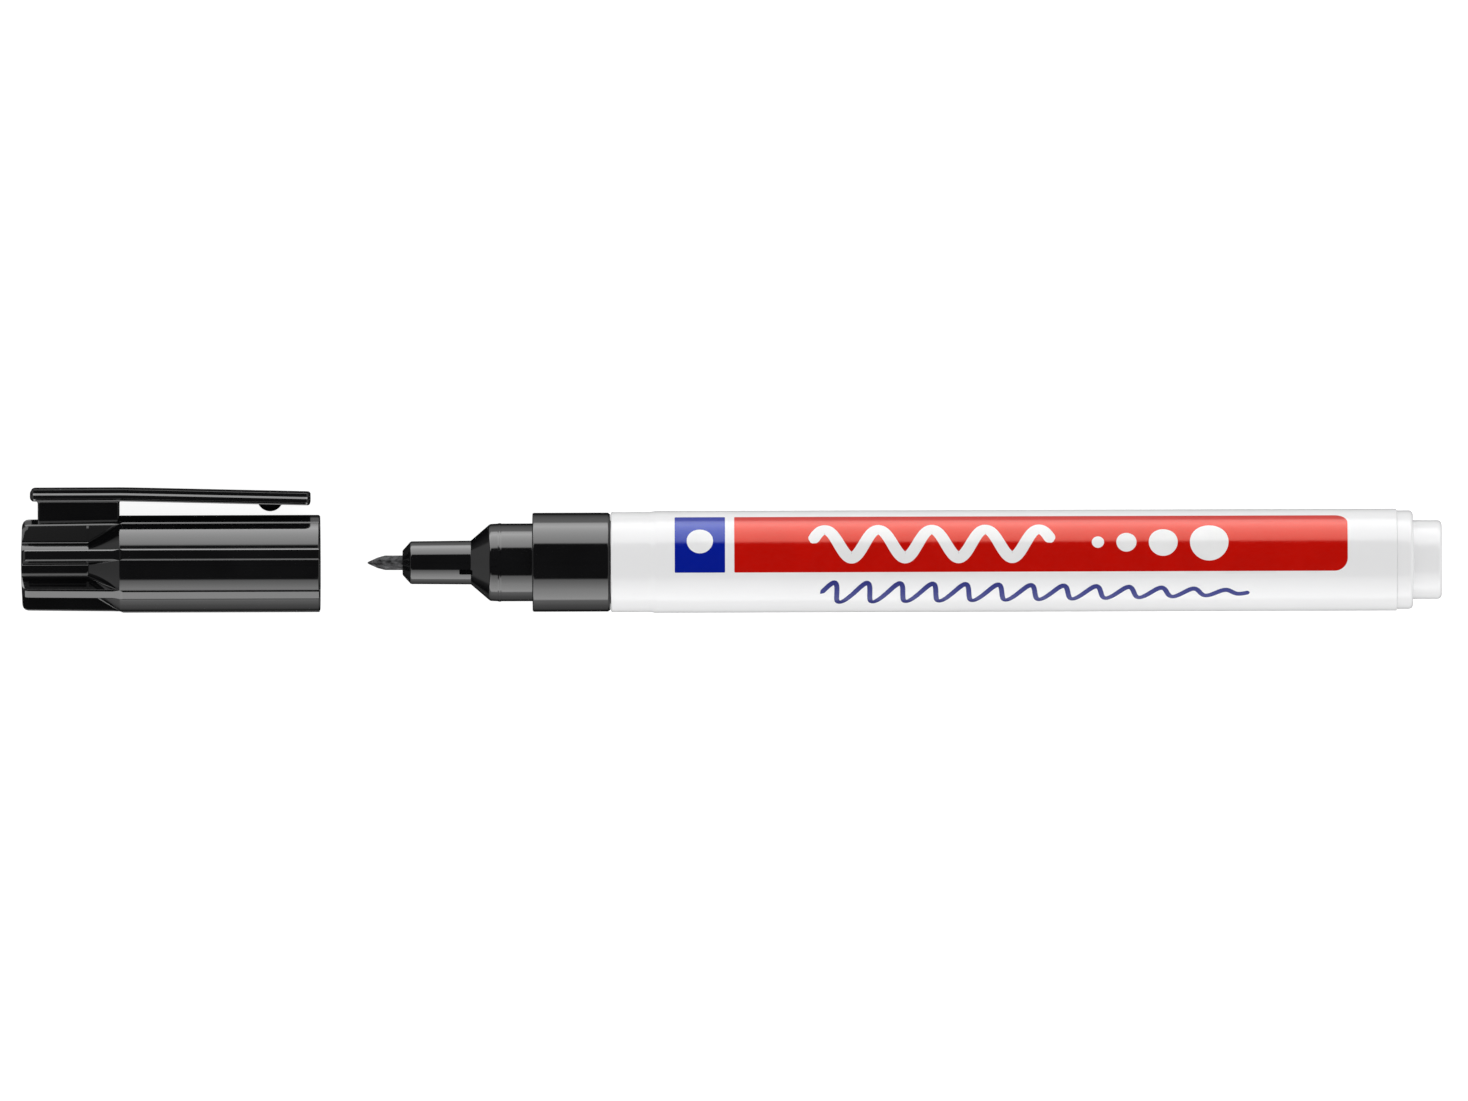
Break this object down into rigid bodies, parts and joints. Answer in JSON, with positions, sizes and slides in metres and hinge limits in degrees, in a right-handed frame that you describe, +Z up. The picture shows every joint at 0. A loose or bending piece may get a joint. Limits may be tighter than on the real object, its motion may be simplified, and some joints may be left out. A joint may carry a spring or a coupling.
{
  "type": "felt tip marker",
  "caption": "Round-barrelled permanent marker with a fibre nib, its ribbed cap with a pocket clip pulled off and lying in line ahead of the nib.",
  "frame": {"origin": "centre of the rear end face, on the marker's axis", "axes": "+X along the axis out of the rear end, so the nib points to -X; the marker lies on its side with +Z up; +Y is the side of the cap's clip"},
  "size_m": [0.1622, 0.0144, 0.0116],
  "materials": {
    "white_plastic": "smooth moulded white polypropylene",
    "black_plastic": "glossy moulded black polypropylene",
    "seal_plastic": "natural milky polyethylene",
    "film": "thin plastic film wrap",
    "nib_fibre": "pressed acrylic fibre, soaked with black ink",
    "inked_fibre": "polyester fibre bundle, soaked with black ink",
    "red_print": "gloss red ink printed on the barrel",
    "blue_print": "gloss blue ink printed on the barrel",
    "white_print": "gloss white ink printed on the barrel"
  },
  "bodies": {
    "marker": {"barrel": "white_plastic", "end_plug": "white_plastic", "front_section": "black_plastic", "nib": "nib_fibre", "reservoir_film": "film", "ink_reservoir": "inked_fibre"},
    "cap": {"cap_shell": "black_plastic", "inner_cap": "seal_plastic"},
    "clip": {"clip_arm": "black_plastic"}
  },
  "joints": [
    {"name": "cap_slide", "type": "slide", "parent": "marker", "child": "cap", "axis": [1, 0, 0], "range_m": [0, 0.02423]},
    {"name": "clip_flex", "type": "hinge", "parent": "cap", "child": "clip", "pos_m": [-0.1509, 0.00792, 0], "axis": [0, 0, 1], "range_deg": [0, 6], "stiffness_Nm_per_rad": 0.29}
  ]
}
